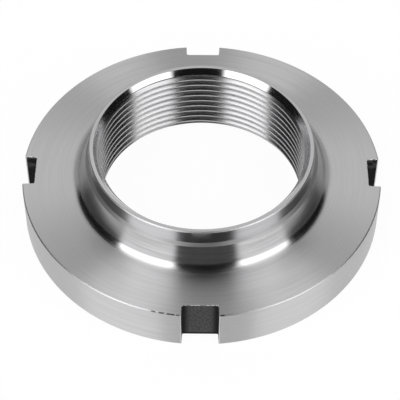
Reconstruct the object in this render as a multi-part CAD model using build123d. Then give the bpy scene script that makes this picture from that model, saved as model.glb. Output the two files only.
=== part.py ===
from build123d import *
import os
from math import radians, tan

os.makedirs("parts", exist_ok=True)

# Slotted round nut, turned from one piece of steel: a flat round flange with four
# spanner slots in its rim, and a stepped collar that stands up round the threaded bore.
# Millimetres, +Z up the nut's axis towards the collar, origin at the middle of the seat,
# which is the flat underside of the flange. One slot opens towards -Y.

# Thread, M55 x 2: the bore is cut at its minor diameter
thread_diameter = 55.0
thread_pitch = 2.0
thread_height_factor = 1.0825  # nominal less minor diameter of an ISO thread, in pitches

# Lead-in cones at the bore's two mouths
top_mouth_margin = 0.5  # how far the mouth lies outside the thread's nominal radius
top_mouth_depth = 2.2
seat_mouth_margin = 1.35
seat_mouth_depth = 2.45

# Flange
flange_diameter = 94.0
flange_thickness = 12.0
rim_break = 0.25

# Collar, outside, from its tip down to the flange
collar_height = 10.3  # above the flange
tip_wall = 1.65  # tip radius less the thread's nominal radius
tip_break = 0.25
upper_wall_height = 3.5
upper_wall_angle = 5.7  # degrees from the axis
step_width = 0.65
step_height = 0.9
lower_wall_angle = 24.0  # degrees from the axis
foot_fillet = 2.7

# Spanner slots
slot_count = 4
slot_depth = 3.35
slot_floor_width = 9.0
slot_wall_flare = 2.5  # degrees that each wall opens outwards
slot_corner_radius = 0.4
slot_mouth_radius = 0.3

thread_radius = thread_diameter / 2
bore_radius = thread_radius - thread_height_factor * thread_pitch / 2
flange_radius = flange_diameter / 2
nut_height = flange_thickness + collar_height


def nearest_corner(face, point):
    return face.vertices().sort_by_distance((*point, 0))[0]


def turned_section():
    """Half of the nut's section, as radius and height, with its breaks and fillet."""
    seat_mouth = (thread_radius + seat_mouth_margin, 0)
    bore_foot = (bore_radius, seat_mouth_depth)
    bore_top = (bore_radius, nut_height - top_mouth_depth)
    top_mouth = (thread_radius + top_mouth_margin, nut_height)

    tip = (thread_radius + tip_wall, nut_height)
    neck_drop = upper_wall_height
    neck = (tip[0] + neck_drop * tan(radians(upper_wall_angle)), nut_height - neck_drop)
    shoulder = (neck[0] + step_width, neck[1] - step_height)
    shoulder_rise = shoulder[1] - flange_thickness
    foot = (shoulder[0] + shoulder_rise * tan(radians(lower_wall_angle)), flange_thickness)
    rim_top = (flange_radius, flange_thickness)
    rim_bottom = (flange_radius, 0)

    outline = Polyline(
        seat_mouth, bore_foot, bore_top, top_mouth,
        tip, neck, shoulder, foot, rim_top, rim_bottom,
        close=True,
    )
    face = make_face(outline)
    face = fillet(nearest_corner(face, foot), radius=foot_fillet)
    face = chamfer(nearest_corner(face, tip), length=tip_break)
    face = chamfer(nearest_corner(face, rim_top), length=rim_break)
    return chamfer(nearest_corner(face, rim_bottom), length=rim_break)


def slot_profile():
    """One slot seen from above, its floor across the X axis, open beyond the rim."""
    floor_at = flange_radius - slot_depth
    mouth_at = flange_radius + slot_depth
    floor_half = slot_floor_width / 2
    mouth_half = floor_half + (mouth_at - floor_at) * tan(radians(slot_wall_flare))
    corners = (floor_at, -floor_half), (floor_at, floor_half)
    face = make_face(Polyline(
        corners[0], (mouth_at, -mouth_half), (mouth_at, mouth_half), corners[1],
        close=True,
    ))
    for corner in corners:
        face = fillet(nearest_corner(face, corner), radius=slot_corner_radius)
    return face


def rim_outline():
    """The flange seen from above: a round with the slots out of it."""
    slots = PolarLocations(0, slot_count, start_angle=-90) * slot_profile()
    face = Circle(flange_radius) - slots
    on_rim = [
        vertex for vertex in face.vertices()
        if abs(Vector(vertex).length - flange_radius) < slot_depth / 100
    ]
    return fillet(on_rim, radius=slot_mouth_radius)


turned = revolve(Plane.XZ * turned_section(), axis=Axis.Z)
nut = turned & extrude(rim_outline(), amount=nut_height)
nut.label = "nut"
export_step(nut, "parts/nut.step")

print(f"nut {flange_diameter:.1f} across, {nut_height:.1f} high, bore radius {bore_radius:.4f}")
print(f"bore wall {nut_height - top_mouth_depth - seat_mouth_depth:.2f} long, volume {nut.volume:.1f}")
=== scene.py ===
# %% [markdown]
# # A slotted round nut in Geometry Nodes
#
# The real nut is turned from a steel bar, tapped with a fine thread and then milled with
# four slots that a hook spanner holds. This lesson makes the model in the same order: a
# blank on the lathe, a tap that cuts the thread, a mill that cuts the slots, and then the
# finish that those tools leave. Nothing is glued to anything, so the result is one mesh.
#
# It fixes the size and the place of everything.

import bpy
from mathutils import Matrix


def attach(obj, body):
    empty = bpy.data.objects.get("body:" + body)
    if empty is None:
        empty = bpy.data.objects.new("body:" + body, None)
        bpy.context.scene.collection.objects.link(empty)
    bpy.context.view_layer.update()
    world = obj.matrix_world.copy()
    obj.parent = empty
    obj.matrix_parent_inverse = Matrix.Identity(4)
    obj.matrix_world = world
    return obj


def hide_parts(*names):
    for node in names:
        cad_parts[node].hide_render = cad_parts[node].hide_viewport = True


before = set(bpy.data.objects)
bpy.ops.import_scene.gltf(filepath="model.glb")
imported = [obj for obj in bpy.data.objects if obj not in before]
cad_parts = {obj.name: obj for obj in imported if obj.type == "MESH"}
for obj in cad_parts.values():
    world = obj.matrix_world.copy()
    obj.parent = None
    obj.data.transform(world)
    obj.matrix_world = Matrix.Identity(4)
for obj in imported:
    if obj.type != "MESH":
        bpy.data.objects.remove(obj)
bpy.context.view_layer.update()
print("CAD nodes:", sorted(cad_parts))

# %% [markdown]
# ## Sizes
#
# A turner reads a drawing with one number for each feature, and so does this script. All
# lengths are in millimetres, as on the drawing, and become metres only where a point is
# made. The two overall sizes are read from the CAD mesh. The four slots lie on the axes,
# where they take a bite out of the box, so the flange's radius is the distance of the
# farthest point from the axis, and not half the box.

# %% The drawing
import bpy
from math import atan2, cos, hypot, pi, radians, sin, sqrt, tan

MM = 0.001
cad_points = [vertex.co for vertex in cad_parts["nut"].data.vertices]
flange_radius = max(hypot(point.x, point.y) for point in cad_points) / MM
nut_height = max(point.z for point in cad_points) / MM
flange_top = 12.0

tip_radius = 29.15
tip_break = 0.25
neck_drop = 3.5
neck_angle = radians(5.7)
step_width = 0.65
step_drop = 0.9
foot_angle = radians(24)
foot_fillet = 2.7
rim_break = 0.25

bore_radius = 26.4175
thread_radius = 27.5
pitch = 2.0
thread_start = 0.86
flank_angle = radians(30)
crest_corner = 0.32
top_mouth_radius = 28.0
top_mouth_depth = 2.2
seat_mouth_radius = 28.85
seat_mouth_depth = 2.45

slot_depth = 3.35
slot_floor_half = 4.5
slot_flare = radians(2.5)
slot_corner = 0.4
slot_mouth = 0.3
slot_bevel = 0.12

print(f"flange radius {flange_radius:.3f} mm, nut height {nut_height:.3f} mm")

# %% [markdown]
# ## The camera
#
# The photograph was taken from well above with a long lens: the rims of the flange and
# of the bore are almost true ellipses. A camera that was fitted to those ellipses stands
# 416 mm away and looks down at almost 50 degrees. The nut in the picture is turned
# by less than half a degree, and here the camera goes round by that much instead, so the
# slots stay on the axes.

# %% Camera
from mathutils import Matrix, Vector

aim = Vector((-0.41, 0, 0.38)) * MM
distance = 415.9 * MM
elevation = radians(49.71)
around = radians(0.38)
roll = radians(0.17)

camera_data = bpy.data.cameras.new("long lens")
camera_data.sensor_width = 36
camera_data.lens = 139.5
camera_data.clip_start = 0.01
camera = bpy.data.objects.new("camera", camera_data)
bpy.context.scene.collection.objects.link(camera)
stand = aim + distance * Vector((0, -cos(elevation), sin(elevation)))
tilt = Matrix.Rotation(pi / 2 - elevation, 4, "X") @ Matrix.Rotation(roll, 4, "Z")
camera.matrix_world = Matrix.Rotation(around, 4, "Z") @ Matrix.Translation(stand) @ tilt
bpy.context.scene.camera = camera
print("camera stands at, mm:", [round(value / MM, 1) for value in camera.matrix_world.translation])

# %% [markdown]
# ## The section of the blank
#
# Everything that the lathe cuts is one outline, turned round the axis. It runs
# anticlockwise: out along the seat, up the rim, in over the flange, up the collar and
# down the bore. With that order the faces of the turned mesh point out of the metal.
#
# A real corner is never perfectly sharp, and its tiny round is what catches the light, so
# each corner here has a radius. The two points that follow the round, one on each side,
# are holding points: they keep the bent shading of the round away from the flat beside
# it. The big fillet at the collar's foot is made in the same way, with more steps.

# %% A corner with a radius
HOLD = 0.04


def round_corner(before, corner, after, radius, steps):
    """Points that replace a corner by an arc, with a holding point on each side of it."""
    corner = Vector(corner)
    to_before = (Vector(before) - corner).normalized()
    to_after = (Vector(after) - corner).normalized()
    half = to_before.angle(to_after) / 2
    reach = radius / tan(half)
    centre = corner + (to_before + to_after).normalized() * radius / sin(half)
    start = corner + to_before * reach - centre
    end = corner + to_after * reach - centre
    turn = start.angle_signed(end)
    arc = [centre + Matrix.Rotation(-turn * k / steps, 2) @ start for k in range(steps + 1)]
    lead_in = corner + to_before * (reach + HOLD)
    lead_out = corner + to_after * (reach + HOLD)
    return [lead_in, *arc, lead_out]


def soften(outline):
    """A closed outline of (radius, height, corner radius, steps) with its corners rounded."""
    points = []
    for index, (radius, height, round_radius, steps) in enumerate(outline):
        before = outline[index - 1][:2]
        after = outline[(index + 1) % len(outline)][:2]
        points += round_corner(before, (radius, height), after, round_radius, steps)
    return points


square = round_corner((0, 1), (0, 0), (1, 0), 0.5, 4)
print("a right angle rounded in 4 steps has", len(square), "points")

# %% The blank's outline
neck_radius = tip_radius + neck_drop * tan(neck_angle)
neck_height = nut_height - neck_drop
shoulder_radius = neck_radius + step_width
shoulder_height = neck_height - step_drop
foot_radius = shoulder_radius + (shoulder_height - flange_top) * tan(foot_angle)
rim_corner = flange_radius - rim_break
rim_level = flange_top - rim_break
tip_corner = tip_radius - tip_break
tip_level = nut_height - tip_break
cone_end = nut_height - top_mouth_depth

rim_round = 0.15
step_round = 0.12
tip_round = 0.1
bore_round = 0.08

section = soften([
    (seat_mouth_radius, 0, bore_round, 2),
    (rim_corner, 0, rim_round, 2),
    (flange_radius, rim_break, rim_round, 2),
    (flange_radius, rim_level, rim_round, 2),
    (rim_corner, flange_top, rim_round, 2),
    (foot_radius, flange_top, foot_fillet, 12),
    (shoulder_radius, shoulder_height, step_round, 3),
    (neck_radius, neck_height, step_round, 3),
    (tip_radius, tip_level, tip_round, 2),
    (tip_corner, nut_height, tip_round, 2),
    (top_mouth_radius, nut_height, bore_round, 3),
    (bore_radius, cone_end, bore_round, 2),
    (bore_radius, seat_mouth_depth, bore_round, 2),
])
section.append(section[0])
print(len(section), "points in the blank's outline")

# %% [markdown]
# ## The tap's tooth
#
# A thread could be drawn line by line, but it is truer to give the tap one tooth and let
# it cut. In an ISO thread the flanks stand 30 degrees from square, the crest of the nut's
# thread is a flat of a quarter of the pitch, and the root is a flat of an eighth. The
# crest itself stays as the drill left it: the bore's own wall.
#
# On the real nut the crests look thin, because their corners were rounded when the burr
# came off. So the tooth flares where it meets the bore, with an arc that leaves the flank
# smoothly. The arc stops 15 degrees short of the bore wall's direction, so the tap crosses
# the wall at a clear angle, and not along it. The tooth then ends inside the empty bore.

# %% One pitch of the tap
def arc_points(centre, radius, start, end, steps):
    """Points on an arc, from one direction to another, both in radians."""
    turns = [start + (end - start) * k / steps for k in range(steps + 1)]
    return [(centre[0] + radius * cos(turn), centre[1] + radius * sin(turn)) for turn in turns]


root_half = pitch / 16
crossing = radians(15)
past_wall = 0.01
into_bore = 0.1
end_rise = 0.02

crest_edge = root_half + (thread_radius - bore_radius) * tan(flank_angle)
flare_centre = (bore_radius + crest_corner, crest_edge + crest_corner * tan(flank_angle))
flare = arc_points(flare_centre, crest_corner, 1.5 * pi - flank_angle, pi + crossing, 3)
cross_radius = bore_radius - past_wall
cross_height = flare[-1][1] + (flare[-1][0] - cross_radius) / tan(crossing)
inner_end = (bore_radius - into_bore, cross_height + end_rise)
upper_half = [(thread_radius, root_half), *flare, (cross_radius, cross_height), inner_end]
tooth_points = [(r, -z) for r, z in reversed(upper_half)] + upper_half
print("half of the tap's tooth, mm:", [(round(r, 3), round(z, 3)) for r, z in upper_half])

# %% [markdown]
# ## The slot mill
#
# Each slot is a straight cut with a flat floor, rounded floor corners, walls that open by
# 2.5 degrees each, and rounded mouths. The cutter is the hole's shape: its outline from
# above, lifted through the flange. It swells by 0.12 mm where it meets the top and the
# bottom of the flange, which leaves the small bevel of a deburred edge. The faces that the
# cutter's flanks and the lower bevel leave are marked with 1, and those of the upper bevel
# with a half, because both get another finish than the turned surfaces do. The rounded
# mouths stay as bright as the rim.

# %% The cutter's outline from above
floor_radius = flange_radius - slot_depth
MOUTH_SHARE = 0.97


def half_slot(grow):
    """One side of the slot, out along +X: floor corner, wall, mouth, and on past the rim."""
    along = (cos(slot_flare), sin(slot_flare))
    into_metal = (-along[1], along[0])
    wall_start = (
        floor_radius + grow * into_metal[0],
        slot_floor_half + grow * into_metal[1],
    )
    # the floor's corner: its centre keeps the radius from the floor and from the wall
    centre_x = floor_radius - grow + slot_corner
    back = (centre_x - wall_start[0] + slot_corner * into_metal[0]) / along[0]
    centre_y = wall_start[1] + back * along[1] - slot_corner * into_metal[1]
    corner = arc_points((centre_x, centre_y), slot_corner, pi, pi / 2 + slot_flare, 4)
    # the mouth's round: its centre lies in the metal
    mouth_radius = slot_mouth - grow
    base = (
        wall_start[0] + mouth_radius * into_metal[0],
        wall_start[1] + mouth_radius * into_metal[1],
    )
    reach = flange_radius - slot_mouth
    middle = base[0] * along[0] + base[1] * along[1]
    run = -middle + sqrt(middle**2 - (base[0] ** 2 + base[1] ** 2 - reach**2))
    centre = (base[0] + run * along[0], base[1] + run * along[1])
    start = atan2(-into_metal[1], -into_metal[0])
    end = atan2(centre[1], centre[0])
    # the arc stops a little early, so that the cutter crosses the rim at a clear angle
    mouth = arc_points(centre, mouth_radius, start, start + MOUTH_SHARE * (end - start), 4)
    past = (mouth[-1][0] + 1.0, mouth[-1][1] + 0.05)
    return corner, mouth, past


print("slot floor at radius, mm:", round(floor_radius, 3))

# %% The cutter as a mesh
import bmesh

MILLED = 1.0
FILED = 0.5
LOWER_BEVEL = 1
FLANK = 2


def slot_outline(grow):
    """The whole outline, and for each point whether the side that starts there is milled."""
    corner, mouth, past = half_slot(grow)
    side = [*corner, *mouth, past]
    marks = [MILLED] * len(corner) + [0.0] * (len(mouth) + 1)
    other = [(x, -y) for x, y in reversed(side)]
    other_marks = [0.0] * len(mouth) + [MILLED] * (len(corner) + 1)
    return [*other, *side], [*other_marks, *marks]


def make_slot_mill():
    """A closed cutter through the flange, with a bevel where it enters and leaves."""
    margin = 0.02
    swell = slot_bevel + margin
    levels = [
        (-1, swell),
        (-margin, swell),
        (slot_bevel, 0),
        (flange_top - slot_bevel, 0),
        (flange_top + margin, swell),
        (flange_top + 1, swell),
    ]
    work = bmesh.new()
    milled = work.faces.layers.float.new("milled")
    rings = []
    for height, grow in levels:
        outline, marks = slot_outline(grow)
        rings.append([work.verts.new((x * MM, y * MM, height * MM)) for x, y in outline])
    count = len(marks)
    for level, (lower, upper) in enumerate(zip(rings, rings[1:])):
        for k in range(count):
            after = (k + 1) % count
            face = work.faces.new((lower[k], lower[after], upper[after], upper[k]))
            if level == FLANK:
                face[milled] = marks[k]
            elif level == LOWER_BEVEL:
                face[milled] = MILLED
            else:
                face[milled] = FILED
    work.faces.new(rings[0])
    work.faces.new(rings[-1])
    bmesh.ops.recalc_face_normals(work, faces=work.faces)
    mesh = bpy.data.meshes.new("slot_mill")
    work.to_mesh(mesh)
    work.free()
    return bpy.data.objects.new("slot_mill", mesh)


slot_mill = make_slot_mill()
print("slot mill:", len(slot_mill.data.vertices), "points,", len(slot_mill.data.polygons), "faces")

# %% [markdown]
# ## Node helpers
#
# A node tree that is written in code reads best when each line says what goes in and what
# comes out. `add` makes a node and fills its inputs, either with a number or with a link
# from another node. `maths` is the same for the Math node, and returns its result at once,
# and `product` chains as many multiplications as it needs.

# %% Helpers for node trees
def plug(tree, value, socket):
    """Link an output to a socket, or write a plain value into it."""
    if isinstance(value, bpy.types.NodeSocket):
        tree.links.new(value, socket)
    else:
        socket.default_value = value


def add(tree, kind, inputs=None, **settings):
    """Make a node, set its properties, and fill its inputs by name or by number."""
    node = tree.nodes.new(kind)
    for name, value in settings.items():
        setattr(node, name, value)
    for socket, value in (inputs or {}).items():
        plug(tree, value, node.inputs[socket])
    return node


def maths(tree, operation, *values):
    """The result of one Math node."""
    node = add(tree, "ShaderNodeMath", dict(enumerate(values)), operation=operation)
    return node.outputs[0]


def product(tree, *values):
    """The product of two or more values."""
    result = values[0]
    for value in values[1:]:
        result = maths(tree, "MULTIPLY", result, value)
    return result


def new_tree(name, inputs):
    """A geometry tree with named inputs and one geometry output, and what its inputs give."""
    tree = bpy.data.node_groups.new(name, "GeometryNodeTree")
    for label, kind in inputs.items():
        tree.interface.new_socket(label, in_out="INPUT", socket_type=kind)
    tree.interface.new_socket("Geometry", in_out="OUTPUT", socket_type="NodeSocketGeometry")
    given = tree.nodes.new("NodeGroupInput")
    return tree, given.outputs


print("helpers:", [helper.__name__ for helper in (plug, add, maths, product, new_tree)])

# %% [markdown]
# ## The lathe
#
# A Spin or a Screw modifier could turn the outline as well. A node tree does it with one
# idea that the thread will need again: take a flat grid, and give every one of its points
# a new place. The grid has one column for each step round the axis and one row for each
# point of the outline. A point's number tells its column and its row. Sample Index reads
# the outline's point of that row, and Vector Rotate turns it to that column's angle. The
# last column falls on the first, and Merge by Distance closes the ring.

# %% Helpers for turning a grid
WELD = 0.001 * MM


def split(tree, number, size):
    """How many whole times a size goes into a number, and what is left over."""
    whole = maths(tree, "FLOOR", maths(tree, "DIVIDE", maths(tree, "ADD", number, 0.5), size))
    return whole, maths(tree, "SUBTRACT", number, maths(tree, "MULTIPLY", whole, size))


def flat_grid(tree, columns, rows):
    """A grid with one column more than it has steps, and each point's column and row."""
    grid = add(tree, "GeometryNodeMeshGrid", {
        "Vertices X": maths(tree, "ADD", columns, 1),
        "Vertices Y": rows,
    })
    number = add(tree, "GeometryNodeInputIndex").outputs[0]
    column, row = split(tree, number, rows)
    return grid.outputs["Mesh"], column, row


def point_count(tree, outline):
    """How many points an outline has."""
    size = add(tree, "GeometryNodeAttributeDomainSize", {"Geometry": outline})
    return size.outputs["Point Count"]


def outline_point(tree, outline, number):
    """Where the outline's point with that number lies."""
    sample = add(tree, "GeometryNodeSampleIndex", {
        "Geometry": outline,
        "Value": add(tree, "GeometryNodeInputPosition").outputs[0],
        "Index": number,
    }, data_type="FLOAT_VECTOR", domain="POINT", clamp=True)
    return sample.outputs[0]


def turn_and_weld(tree, mesh, point, share):
    """Set each point at its share of a full round, weld the ring and hand it out."""
    turned = add(tree, "ShaderNodeVectorRotate", {
        "Vector": point,
        "Angle": maths(tree, "MULTIPLY", share, 2 * pi),
    }, rotation_type="Z_AXIS")
    placed = add(tree, "GeometryNodeSetPosition", {"Geometry": mesh, "Position": turned.outputs[0]})
    closed = add(tree, "GeometryNodeMergeByDistance", {
        "Geometry": placed.outputs[0],
        "Distance": WELD,
    })
    add(tree, "NodeGroupOutput", {"Geometry": closed.outputs[0]})
    print("tree:", tree.name, "with", len(tree.nodes), "nodes")


# %% Tree: turn an outline
turn, given = new_tree("turn an outline", {
    "Geometry": "NodeSocketGeometry",
    "Columns": "NodeSocketInt",
})
rows = point_count(turn, given["Geometry"])
grid, column, row = flat_grid(turn, given["Columns"], rows)
share = maths(turn, "DIVIDE", column, given["Columns"])
turn_and_weld(turn, grid, outline_point(turn, given["Geometry"], row), share)

# %% [markdown]
# ## The tap
#
# The tap is the same grid, sheared: each column starts a little higher than the one
# before, and after one full round it is exactly one pitch up, where it meets the tooth
# above. That makes a true helix from only fourteen rows for each pitch. Below and above
# the nut the rows are pressed flat onto two end planes and drawn in to the axis, so the tap
# is a closed body, as the cutting step needs. Three spare teeth see to it that the rows
# reach past both planes. Height grows with the angle, which is a right-hand thread.

# %% Tree: turn a helical tap
tap, given = new_tree("turn a helical tap", {
    "Tooth": "NodeSocketGeometry",
    "Columns": "NodeSocketInt",
    "Pitch": "NodeSocketFloat",
    "Core Radius": "NodeSocketFloat",
    "Bottom": "NodeSocketFloat",
    "Top": "NodeSocketFloat",
})
spare_teeth = 3
teeth_below = 1.5

tooth_rows = point_count(tap, given["Tooth"])
length = maths(tap, "SUBTRACT", given["Top"], given["Bottom"])
pitches = maths(tap, "CEIL", maths(tap, "DIVIDE", length, given["Pitch"]))
teeth = maths(tap, "ADD", pitches, spare_teeth)
rows = maths(tap, "ADD", maths(tap, "MULTIPLY", teeth, tooth_rows), 2)
grid, column, row = flat_grid(tap, given["Columns"], rows)
tooth, tooth_row = split(tap, maths(tap, "SUBTRACT", row, 1), tooth_rows)
tooth_point = outline_point(tap, given["Tooth"], tooth_row)
parts = add(tap, "ShaderNodeSeparateXYZ", {0: tooth_point}).outputs
share = maths(tap, "DIVIDE", column, given["Columns"])
climbed = maths(tap, "ADD", maths(tap, "SUBTRACT", tooth, teeth_below), share)
climb = maths(tap, "MULTIPLY", climbed, given["Pitch"])
height = maths(tap, "ADD", maths(tap, "ADD", given["Bottom"], climb), parts["Z"])
above_bottom = maths(tap, "GREATER_THAN", height, given["Bottom"])
below_top = maths(tap, "LESS_THAN", height, given["Top"])
radius = add(tap, "ShaderNodeMix", {
    "Factor": product(tap, above_bottom, below_top),
    "A": given["Core Radius"],
    "B": parts["X"],
}).outputs[0]
past_first = maths(tap, "GREATER_THAN", row, 0.5)
before_last = maths(tap, "LESS_THAN", row, maths(tap, "SUBTRACT", rows, 1.5))
point = add(tap, "ShaderNodeCombineXYZ", {
    "X": product(tap, radius, product(tap, past_first, before_last)),
    "Z": maths(tap, "MINIMUM", maths(tap, "MAXIMUM", height, given["Bottom"]), given["Top"]),
}).outputs[0]
turn_and_weld(tap, grid, point, share)

# %% [markdown]
# ## The finish of the turned steel
#
# Turning leaves fine grooves that run round the axis. Light that falls on them is spread
# across the grooves and hardly at all along them, so the flange shows bright fans that
# widen from the bore. The Principled shader has this as anisotropy: its tangent runs
# round the axis, and a quarter turn lays the long side of the highlight across the
# grooves.
#
# An image could hold the tool marks, but noise is sharp at any distance. Here it is read
# from the radius and the height, and changes slowly round the axis, which gives rings.
# The marks then go into colour, roughness and bump alike.

# %% Helpers for the finishes
def stretch(tree, value, low, high, to_low=0.0, to_high=1.0, kind="SMOOTHSTEP"):
    """A Map Range node: low to high becomes to_low to to_high, by default with soft ends."""
    node = add(tree, "ShaderNodeMapRange", {
        "Value": value,
        "From Min": low,
        "From Max": high,
        "To Min": to_low,
        "To Max": to_high,
    }, interpolation_type=kind)
    return node.outputs[0]


def ramp(tree, value, start, end):
    """0 at the start and 1 at the end, both given in millimetres."""
    return stretch(tree, value, start * MM, end * MM)


def between(tree, value, limits):
    """For four rising limits: 1 between the middle two, and 0 outside the outer two."""
    rise = stretch(tree, value, limits[0], limits[1])
    fall = stretch(tree, value, limits[3], limits[2])
    return product(tree, rise, fall)


def blend(tree, first, second, factor):
    """A plain number between two others."""
    return add(tree, "ShaderNodeMix", {"Factor": factor, "A": first, "B": second}).outputs[0]


def blend_colours(tree, first, second, factor):
    """A colour between two others."""
    node = add(tree, "ShaderNodeMix", {"Factor": factor, "A": first, "B": second}, data_type="RGBA")
    return node.outputs["Result"]


def grey_colour(tree, value):
    """A neutral colour from one number."""
    return add(tree, "ShaderNodeCombineXYZ", {"X": value, "Y": value, "Z": value}).outputs[0]


def noise(tree, vector, per_mm, detail):
    """Plain noise with a given number of spots for each millimetre."""
    node = add(tree, "ShaderNodeTexNoise", {
        "Vector": vector,
        "Scale": per_mm / MM,
        "Detail": detail,
    })
    return node.outputs[0]


def ring_noise(tree, radius, height, around_x, around_y, per_mm, change):
    """Noise that makes rings: fine along radius and height, slow round the axis."""
    scale = per_mm / MM
    vector = add(tree, "ShaderNodeCombineXYZ", {
        "X": maths(tree, "MULTIPLY", radius, scale),
        "Y": maths(tree, "MULTIPLY", height, scale),
        "Z": maths(tree, "MULTIPLY", around_x, change),
    }).outputs[0]
    return add(tree, "ShaderNodeTexNoise", {
        "Vector": vector,
        "W": maths(tree, "MULTIPLY", around_y, change),
        "Scale": 1.0,
        "Detail": 2.0,
    }, noise_dimensions="4D").outputs[0]


def new_finish(name):
    """A material with its node tree and its Principled shader."""
    material = bpy.data.materials.new(name)
    material.use_nodes = True
    tree = material.node_tree
    return material, tree, tree.nodes["Principled BSDF"]


def new_metal(name):
    """The same for bare metal, with the Object coordinates that its patterns read."""
    material, tree, shader = new_finish(name)
    shader.inputs["Metallic"].default_value = 1.0
    place = add(tree, "ShaderNodeTexCoord").outputs["Object"]
    return material, tree, shader, place


number_helpers = (stretch, ramp, between, blend, blend_colours, grey_colour)
pattern_helpers = (noise, ring_noise, new_finish, new_metal)
print("helpers:", [helper.__name__ for helper in number_helpers + pattern_helpers])

# %% Turned steel: radius, direction and tool marks
turned_steel, tree, steel, place = new_metal("turned steel")
parts = add(tree, "ShaderNodeSeparateXYZ", {0: place}).outputs
across = add(tree, "ShaderNodeCombineXYZ", {"X": parts["X"], "Y": parts["Y"]}).outputs[0]
radius = add(tree, "ShaderNodeVectorMath", {0: across}, operation="LENGTH").outputs["Value"]
way = add(tree, "ShaderNodeVectorMath", {0: across}, operation="NORMALIZE").outputs[0]
way_parts = add(tree, "ShaderNodeSeparateXYZ", {0: way}).outputs

broad = ring_noise(tree, radius, parts["Z"], way_parts["X"], way_parts["Y"], 1.1, 1.5)
fine = ring_noise(tree, radius, parts["Z"], way_parts["X"], way_parts["Y"], 3.0, 2.0)
marks = maths(tree, "ADD", maths(tree, "MULTIPLY", broad, 0.5), maths(tree, "MULTIPLY", fine, 0.5))
print("turned steel:", len(tree.nodes), "nodes for the tool marks")

# %% [markdown]
# ## Where the finish changes
#
# The tools didn't leave the same surface everywhere. Separate materials would need cuts in
# the mesh, so one material asks each point for its radius and height instead, and makes a
# mask of 0 and 1 for each part: the flange's face, the bore, the thread in it, the narrow
# step on the collar, the flat tip, and the broken edges of the rim and the tip. The
# face's finish begins on the fillet, whose outer end is already as rough as the face.

# %% Turned steel: a mask for each part
face_begins = 32.6
face_full = 34.4

on_face = ramp(tree, radius, face_begins, face_full)
in_bore = ramp(tree, radius, tip_corner + 0.2, tip_corner - 0.2)
below_cone = ramp(tree, parts["Z"], cone_end + 0.3, cone_end - 0.1)
in_thread = product(tree, in_bore, below_cone)

near_rim = ramp(tree, radius, rim_corner - 0.06, rim_corner + 0.02)
above_rim = ramp(tree, parts["Z"], rim_level - 0.06, rim_level + 0.02)
on_rim_break = product(tree, near_rim, above_rim)
near_tip = ramp(tree, radius, tip_corner - 0.05, tip_corner + 0.03)
above_tip = ramp(tree, parts["Z"], tip_level - 0.05, tip_level + 0.03)
on_tip_break = product(tree, near_tip, above_tip)
on_break = maths(tree, "MAXIMUM", on_rim_break, on_tip_break)

below_neck = ramp(tree, parts["Z"], neck_height + 0.08, neck_height - 0.08)
above_shoulder = ramp(tree, parts["Z"], shoulder_height - 0.08, shoulder_height + 0.08)
outside = ramp(tree, radius, tip_radius + 0.05, tip_radius + 0.25)
on_step = product(tree, below_neck, above_shoulder, outside)
on_tip = ramp(tree, parts["Z"], nut_height - 0.1, nut_height - 0.02)
print("turned steel:", len(tree.nodes), "nodes with the masks")

# %% [markdown]
# ## Rough and smooth
#
# The wide face was cut with a coarse feed, the fillet and the collar's walls with a fine
# one, and the lead-in cone is the smoothest. The tap leaves the thread between face and
# fillet. The step and the broken edges are dull, because the tool only turned its corner
# there: they are rough, and their highlight has hardly any direction. Each mask lays its
# own value over the ones before it, and the tool marks move the result a little.

# %% Turned steel: roughness and its direction
rough = {"fillet": 0.17, "face": 0.31, "bore": 0.13, "thread": 0.26, "step": 0.44, "break": 0.4}
directed = {"fillet": 0.85, "face": 0.98, "step": 0.2, "break": 0.2}

zone = blend(tree, rough["fillet"], rough["face"], on_face)
spread = blend(tree, directed["fillet"], directed["face"], on_face)
for mask, part in ((in_bore, "bore"), (in_thread, "thread"), (on_step, "step"), (on_break, "break")):
    zone = blend(tree, zone, rough[part], mask)
    if part in directed:
        spread = blend(tree, spread, directed[part], mask)
uneven = stretch(tree, marks, 0.3, 0.7, -0.03, 0.03)
plug(tree, maths(tree, "ADD", zone, uneven), steel.inputs["Roughness"])
plug(tree, spread, steel.inputs["Anisotropic"])

steel.inputs["Anisotropic Rotation"].default_value = 0.25
round_axis = add(tree, "ShaderNodeVectorMath", {0: (0, 0, 1), 1: way}, operation="CROSS_PRODUCT")
plug(tree, round_axis.outputs[0], steel.inputs["Tangent"])
bump = add(tree, "ShaderNodeBump", {
    "Strength": 0.28,
    "Distance": 0.01 * MM,
    "Height": fine,
})
plug(tree, bump.outputs[0], steel.inputs["Normal"])
print("roughness of each part:", rough)

# %% [markdown]
# ## The colour of the steel
#
# Steel is a nearly neutral grey, and the tool marks take it a little up and down. The step
# is clearly darker, and the thread and the flat tip are a little darker. On the rim's
# broken edge the real nut has small nicks beside the front slot, a row at the left and a
# short one at the right. They are too small to be worth points in the mesh, so they are
# dark spots: a noise, kept only on the edge and only in those two directions from the axis.

# %% Turned steel: colour
bright_steel = (0.605, 0.602, 0.609, 1)
plain_steel = (0.515, 0.512, 0.519, 1)
dull_steel = (0.35, 0.348, 0.353, 1)
nick_dark = (0.08, 0.079, 0.077, 1)

tone = blend_colours(tree, plain_steel, bright_steel, stretch(tree, marks, 0.3, 0.7))
dull_part = maths(tree, "MAXIMUM", in_thread, on_tip)
dullness = maths(tree, "MAXIMUM", on_step, maths(tree, "MULTIPLY", dull_part, 0.3))
dull_tone = blend_colours(tree, tone, dull_steel, dullness)

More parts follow.
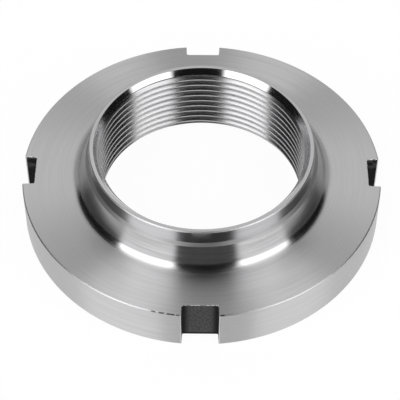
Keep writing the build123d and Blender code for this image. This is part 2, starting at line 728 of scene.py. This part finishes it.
left_row = between(tree, way_parts["X"], (-0.28, -0.24, -0.12, -0.1))
right_row = between(tree, way_parts["X"], (0.103, 0.113, 0.122, 0.132))
in_front = stretch(tree, way_parts["Y"], -0.5, -0.6)
beside_slot = product(tree, maths(tree, "ADD", left_row, right_row), in_front)
spots = stretch(tree, noise(tree, place, 1.1, 1.0), 0.42, 0.52)
nicks = product(tree, on_rim_break, beside_slot, spots)
plug(tree, blend_colours(tree, dull_tone, nick_dark, nicks), steel.inputs["Base Color"])
print("turned steel:", len(tree.nodes), "nodes in all")

# %% [markdown]
# ## The finish in the slots
#
# The slots weren't polished after they were milled. Their floors are a dull dark grey with
# uneven patches. Towards the corners and down at the seat the floor's colour goes black: that
# is painted shade, for the shade that falls into the slot there. The side walls are almost
# black, with lighter patches near the top. The four slots lie on the axes, so the larger of
# |x| and |y| tells floor from wall, and the smaller one is the distance from the slot's middle.

# %% Milled slot
milled_slot, tree, slot_shader, place = new_metal("milled slot")
parts = add(tree, "ShaderNodeSeparateXYZ", {0: place}).outputs
size_x = maths(tree, "ABSOLUTE", parts["X"])
size_y = maths(tree, "ABSOLUTE", parts["Y"])
outward = maths(tree, "MAXIMUM", size_x, size_y)
sideways = maths(tree, "MINIMUM", size_x, size_y)
patches = noise(tree, place, 2.2, 4.0)

floor_grey = 0.085
wall_black = 0.011
wall_lighter = 0.065

# painted shade: the floor's colour goes black towards the walls and down at the seat
corner_shade_from = (slot_floor_half - 2.0) * MM
corner_shade_full = (slot_floor_half - 0.2) * MM
painted_corner_shade = stretch(tree, sideways, corner_shade_from, corner_shade_full, 1.0, 0.12)
painted_foot_shade = stretch(tree, parts["Z"], 0.3 * MM, 1.3 * MM, 0.05, 1.0)
floor_tone = product(tree, painted_corner_shade, painted_foot_shade, floor_grey)
# the walls get lighter patches near the top, spread by noise
near_top = ramp(tree, parts["Z"], 6.5, 9.5)
lighter_patches = product(tree, near_top, stretch(tree, noise(tree, place, 0.6, 2.0), 0.46, 0.62))
wall_tone = blend(tree, wall_black, wall_lighter, lighter_patches)
on_wall = ramp(tree, outward, floor_radius + 0.25, floor_radius + 0.5)
mottle = stretch(tree, patches, 0.35, 0.65, 0.5, 1.5)
slot_tone = product(tree, blend(tree, floor_tone, wall_tone, on_wall), mottle)
plug(tree, grey_colour(tree, slot_tone), slot_shader.inputs["Base Color"])
plug(tree, stretch(tree, patches, 0.3, 0.7, 0.5, 0.7), slot_shader.inputs["Roughness"])
grain = add(tree, "ShaderNodeBump", {"Strength": 0.4, "Distance": 0.03 * MM, "Height": patches})
plug(tree, grain.outputs[0], slot_shader.inputs["Normal"])
print("milled slot:", len(tree.nodes), "nodes")

# %% [markdown]
# ## The filed edges
#
# The small bevels at the slots' tops were broken with a file. That leaves a bright and
# ragged edge, which catches light from everywhere. Real raggedness would need very small
# faces, so one noise stands for it in roughness, bump and colour.

# %% Filed edge
filed_edge, tree, edge_shader, place = new_metal("filed edge")
scratches = noise(tree, place, 2.0, 3.0)
plug(tree, stretch(tree, scratches, 0.35, 0.65, 0.35, 0.6), edge_shader.inputs["Roughness"])
ragged = add(tree, "ShaderNodeBump", {"Strength": 1.0, "Distance": 0.15 * MM, "Height": scratches})
plug(tree, ragged.outputs[0], edge_shader.inputs["Normal"])
shine = stretch(tree, scratches, 0.4, 0.6, 0.25, 0.85)
plug(tree, grey_colour(tree, shine), edge_shader.inputs["Base Color"])
print("filed edge:", len(tree.nodes), "nodes")

# %% [markdown]
# ## The machine shop
#
# One tree now runs the whole job. The outline goes through the lathe, the tooth through
# the tap, and the slot mill is set round the axis four times. A single Mesh Boolean takes
# the tap and the mills out of the blank. The Manifold solver is quick and exact on closed
# bodies, and it carries the mark on the mill's faces over to the faces that they cut.
# Edges that bend by more than 30 degrees are drawn sharp, and all the others smooth.

# %% Tree: machine the nut
CORE_SHARE = 0.99
sharp_bend = radians(30)

shop, given = new_tree("machine the nut", {
    "Geometry": "NodeSocketGeometry",
    "Tooth": "NodeSocketObject",
    "Slot Mill": "NodeSocketObject",
    "Columns": "NodeSocketInt",
    "Slots": "NodeSocketInt",
    "Pitch": "NodeSocketFloat",
    "Bore Radius": "NodeSocketFloat",
    "Height": "NodeSocketFloat",
    "Thread Start": "NodeSocketFloat",
})
blank = add(shop, "GeometryNodeGroup", node_tree=turn)
plug(shop, given["Geometry"], blank.inputs["Geometry"])
plug(shop, given["Columns"], blank.inputs["Columns"])

tooth_shape = add(shop, "GeometryNodeObjectInfo", {"Object": given["Tooth"]}).outputs["Geometry"]
run_out = maths(shop, "MULTIPLY", given["Pitch"], 2)
cutting_tap = add(shop, "GeometryNodeGroup", node_tree=tap)
plug(shop, tooth_shape, cutting_tap.inputs["Tooth"])
plug(shop, given["Columns"], cutting_tap.inputs["Columns"])
plug(shop, given["Pitch"], cutting_tap.inputs["Pitch"])
core = maths(shop, "MULTIPLY", given["Bore Radius"], CORE_SHARE)
plug(shop, core, cutting_tap.inputs["Core Radius"])
plug(shop, maths(shop, "SUBTRACT", given["Thread Start"], run_out), cutting_tap.inputs["Bottom"])
plug(shop, maths(shop, "ADD", given["Height"], run_out), cutting_tap.inputs["Top"])

mill_shape = add(shop, "GeometryNodeObjectInfo", {"Object": given["Slot Mill"]}).outputs["Geometry"]
slot_places = add(shop, "GeometryNodePoints", {"Count": given["Slots"]})
slot_number = add(shop, "GeometryNodeInputIndex").outputs[0]
slot_turn = maths(shop, "MULTIPLY", maths(shop, "DIVIDE", slot_number, given["Slots"]), 2 * pi)
mills = add(shop, "GeometryNodeInstanceOnPoints", {
    "Points": slot_places.outputs[0],
    "Instance": mill_shape,
    "Rotation": add(shop, "ShaderNodeCombineXYZ", {"Z": slot_turn}).outputs[0],
})
four_mills = add(shop, "GeometryNodeRealizeInstances", {"Geometry": mills.outputs[0]})

cut = add(shop, "GeometryNodeMeshBoolean", {
    "Mesh 1": blank.outputs[0],
}, operation="DIFFERENCE", solver="MANIFOLD")
plug(shop, cutting_tap.outputs[0], cut.inputs["Mesh 2"])
plug(shop, four_mills.outputs[0], cut.inputs["Mesh 2"])

bend = add(shop, "GeometryNodeInputMeshEdgeAngle").outputs["Unsigned Angle"]
all_smooth = add(shop, "GeometryNodeSetShadeSmooth", {
    "Geometry": cut.outputs["Mesh"],
    "Shade Smooth": True,
}, domain="FACE")
sharp = add(shop, "GeometryNodeSetShadeSmooth", {
    "Geometry": all_smooth.outputs[0],
    "Selection": maths(shop, "GREATER_THAN", bend, sharp_bend),
    "Shade Smooth": False,
}, domain="EDGE")
real = add(shop, "GeometryNodeRealizeInstances", {"Geometry": sharp.outputs[0]})
steel_on = add(shop, "GeometryNodeSetMaterial", {
    "Geometry": real.outputs[0],
    "Material": turned_steel,
})
mark = add(shop, "GeometryNodeInputNamedAttribute", {"Name": "milled"}, data_type="FLOAT").outputs[0]
edges_on = add(shop, "GeometryNodeSetMaterial", {
    "Geometry": steel_on.outputs[0],
    "Selection": maths(shop, "GREATER_THAN", mark, FILED / 2),
    "Material": filed_edge,
})
slots_on = add(shop, "GeometryNodeSetMaterial", {
    "Geometry": edges_on.outputs[0],
    "Selection": maths(shop, "GREATER_THAN", mark, (FILED + MILLED) / 2),
    "Material": milled_slot,
})
add(shop, "NodeGroupOutput", {"Geometry": slots_on.outputs[0]})
print("tree:", shop.name, "with", len(shop.nodes), "nodes")

# %% [markdown]
# ## Cutting metal
#
# The outline and the tooth are meshes with points only, in the plane of X and Z. The
# modifier's inputs are set by their identifiers before anything is evaluated. The result
# becomes a plain mesh, and the tools are cleared away.

# %% Run the tree and keep the result as a plain mesh
def point_object(name, points):
    """An object whose mesh holds only points, given as radius and height in millimetres."""
    mesh = bpy.data.meshes.new(name)
    mesh.from_pydata([(radius * MM, 0, height * MM) for radius, height in points], [], [])
    return bpy.data.objects.new(name, mesh)


nut = point_object("threaded_nut", section)
tooth_object = point_object("tap_tooth", tooth_points)
for item in (nut, tooth_object, slot_mill):
    bpy.context.scene.collection.objects.link(item)

modifier = nut.modifiers.new("machine shop", "NODES")
modifier.node_group = shop
settings = {
    "Tooth": tooth_object,
    "Slot Mill": slot_mill,
    "Columns": 288,
    "Slots": 4,
    "Pitch": pitch * MM,
    "Bore Radius": bore_radius * MM,
    "Height": nut_height * MM,
    "Thread Start": thread_start * MM,
}
for item in shop.interface.items_tree:
    if item.in_out == "INPUT" and item.name in settings:
        modifier[item.identifier] = settings[item.name]

evaluated = nut.evaluated_get(bpy.context.evaluated_depsgraph_get())
finished = bpy.data.meshes.new_from_object(evaluated)
nut.modifiers.clear()
nut.data = finished
finished.name = "threaded_nut"
finished.materials.pop(index=0)  # the empty place of the grid's own material
for tool in (tooth_object, slot_mill):
    bpy.data.objects.remove(tool)

check = bmesh.new()
check.from_mesh(finished)
open_edges = sum(1 for edge in check.edges if len(edge.link_faces) != 2)
volume = check.calc_volume(signed=True)
check.free()
finished.calc_loop_triangles()
print(f"nut: {len(finished.loop_triangles)} triangles, {open_edges} open edges")
print(f"volume {volume * 1e6:.2f} cm3, materials {[m.name for m in finished.materials]}")

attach(nut, "root")
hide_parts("nut")

# %% [markdown]
# ## The floor
#
# The nut lies on a white table that is lit so evenly that its shadow is hardly seen. The
# floor gives most of its light itself, and a small share is real diffuse white, which
# keeps the soft shadow where the nut stands on it. The metal doesn't see this floor: it
# sees the white table that is part of the studio round it.

# %% White table
half_side = 5
below_seat = -0.02 * MM
sides = ((-1, -1), (1, -1), (1, 1), (-1, 1))
table_corners = [(x * half_side, y * half_side, below_seat) for x, y in sides]
table_mesh = bpy.data.meshes.new("table")
table_mesh.from_pydata(table_corners, [], [(0, 1, 2, 3)])
table = bpy.data.objects.new("table", table_mesh)
bpy.context.scene.collection.objects.link(table)
white, tree, table_shader = new_finish("white table")
table_shader.inputs["Base Color"].default_value = (0.06, 0.06, 0.06, 1)
table_shader.inputs["Roughness"].default_value = 1.0
table_shader.inputs["Specular IOR Level"].default_value = 0.0
table_shader.inputs["Emission Color"].default_value = (1, 1, 1, 1)
table_shader.inputs["Emission Strength"].default_value = 0.95
table_mesh.materials.append(white)
table.visible_glossy = False
print("table: 10 m square, just under the nut's seat")

# %% [markdown]
# ## The studio
#
# Bare metal has no look of its own: it shows the room. The room here is a photographer's
# white tent. Two long soft boxes run from the front over the top, left and right. Between
# them is the dark gap that the camera looks through. The sides behind the boxes are dark,
# and the rear wall and the table are white.
#
# On the real nut each box ends at one angle round the axis, and it is the same angle on
# the collar's wall, its fillet and the flange. A mirror explains that. Turned surfaces at
# one angle all have their normals in one upright plane, and a reflection in any of them
# keeps the part of the view direction that stands square to that plane. So the edge of a
# box is a dot product with that square direction, compared with the view's own.
#
# An image of a studio could light the nut as well, but this tent is painted on the world by
# direction, so that each edge can be moved. A half space is a dot product with a soft edge,
# and a soft box is where two of them overlap. X is to the right, Y away from the camera and
# Z up. The boxes' edges are given in degrees round the axis, from the front.

# %% Helpers for the studio
def dot(tree, direction, other):
    """How far a direction points along another one."""
    node = add(tree, "ShaderNodeVectorMath", {0: direction, 1: other}, operation="DOT_PRODUCT")
    return node.outputs["Value"]


def half_space(tree, direction, normal, offset, soft):
    """1 on the side that normal points to, 0 on the other, with a soft edge between."""
    return stretch(tree, dot(tree, direction, normal), offset - soft / 2, offset + soft / 2)


def upright_edge(tree, direction, degrees, side, soft):
    """The edge of a long box: on the turned steel it shows at one angle round the axis."""
    angle = radians(degrees)
    normal = (side * cos(angle), side * sin(angle), 0)
    return half_space(tree, direction, normal, side * sin(angle) * cos(elevation), soft)


print("helpers:", [helper.__name__ for helper in (dot, half_space, upright_edge)])

# %% World: the windows
world = bpy.data.worlds.new("studio")
bpy.context.scene.world = world
world.use_nodes = True
tree = world.node_tree
tree.nodes.clear()
ray = add(tree, "ShaderNodeTexCoord").outputs["Generated"]
ray_parts = add(tree, "ShaderNodeSeparateXYZ", {0: ray}).outputs

left_from, left_to = -40, -12.3
right_from, right_to = 17.5, 43.5

left_side = upright_edge(tree, ray, left_to, -1, 0.1)
right_side = upright_edge(tree, ray, right_from, 1, 0.12)
left_box = product(tree, left_side, upright_edge(tree, ray, left_from, 1, 0.08))
right_box = product(tree, right_side, upright_edge(tree, ray, right_to, -1, 0.08))
rear = half_space(tree, ray, (0, 1, 0), 0.48, 0.18)
above = half_space(tree, ray, (0, 0, 1), 0.04, 0.1)
above_table = half_space(tree, ray, (0, 0, 1), -0.12, 0.1)
on_table = half_space(tree, ray, (0, 0, -1), 0.49, 0.03)
print("world:", len(tree.nodes), "nodes for the windows")

# %% [markdown]
# ## The light in each window
#
# No soft box is even. Each one is brightest in its middle, and the right one is a little
# weaker than the left one. The rear wall is even in its middle, but at its sides it is dim
# low down and bright high up. The table is brightest straight below the nut. A level of 1
# is the white of the picture's ground.

# %% World: the light in each window
left_middle = (-0.579, -0.579, 0.574)
right_middle = (0.579, -0.579, 0.574)

box_edge_light = 1.0
box_rise = 1.6
right_box_share = 0.9
rear_middle_light = 0.88

nearest = maths(tree, "MAXIMUM", dot(tree, ray, left_middle), dot(tree, ray, right_middle))
to_middle = stretch(tree, nearest, 0.5, 0.95, kind="LINEAR")
glow = maths(tree, "MULTIPLY", box_rise, maths(tree, "POWER", to_middle, 2))
weaker = blend(tree, 1.0, right_box_share, right_box)
box_light = maths(tree, "MULTIPLY", maths(tree, "ADD", box_edge_light, glow), weaker)

aside = stretch(tree, maths(tree, "ABSOLUTE", ray_parts["X"]), 0.02, 0.12)
rear_sides = stretch(tree, ray_parts["Z"], 0.4, 0.95, 0.47, 1.3, kind="LINEAR")
rear_light = blend(tree, rear_middle_light, rear_sides, aside)
table_light = stretch(tree, ray_parts["Z"], -0.5, -0.9, 1.03, 1.14)
print("world:", len(tree.nodes), "nodes with the light")

# %% [markdown]
# ## The windows laid over each other
#
# Each window in the list covers those before it, like sheets of paper. Above the horizon
# everything starts nearly black. Just below it the far end of the table is bright at the
# sides and dim in the gap. Only rays that come from the camera itself see plain white
# instead, so the picture has a white ground and the metal still has a dark room to show.

# %% World
darkness = 0.01
gap_floor = 0.1
side_floor = 0.8
box_floor = 0.82

side_light = blend(tree, side_floor, darkness, above_table)
front_light = blend(tree, box_floor, box_light, above)
layers = (
    (side_light, maths(tree, "ADD", left_side, right_side)),
    (front_light, maths(tree, "ADD", left_box, right_box)),
    (rear_light, rear),
    (table_light, on_table),
)
level = blend(tree, gap_floor, darkness, above)
for light, window in layers:
    level = blend(tree, level, light, window)

studio = add(tree, "ShaderNodeBackground", {"Color": (1, 1, 1, 1), "Strength": level})
plain_white = add(tree, "ShaderNodeBackground", {"Color": (1, 1, 1, 1), "Strength": 1.0})
seen = add(tree, "ShaderNodeLightPath").outputs["Is Camera Ray"]
mixed = add(tree, "ShaderNodeMixShader", {0: seen, 1: studio.outputs[0], 2: plain_white.outputs[0]})
add(tree, "ShaderNodeOutputWorld", {"Surface": mixed.outputs[0]})
print("world:", len(tree.nodes), "nodes in all")

# %% [markdown]
# ## Colours
#
# Standard shows a colour as it is written.

bpy.context.scene.view_settings.view_transform = "Standard"
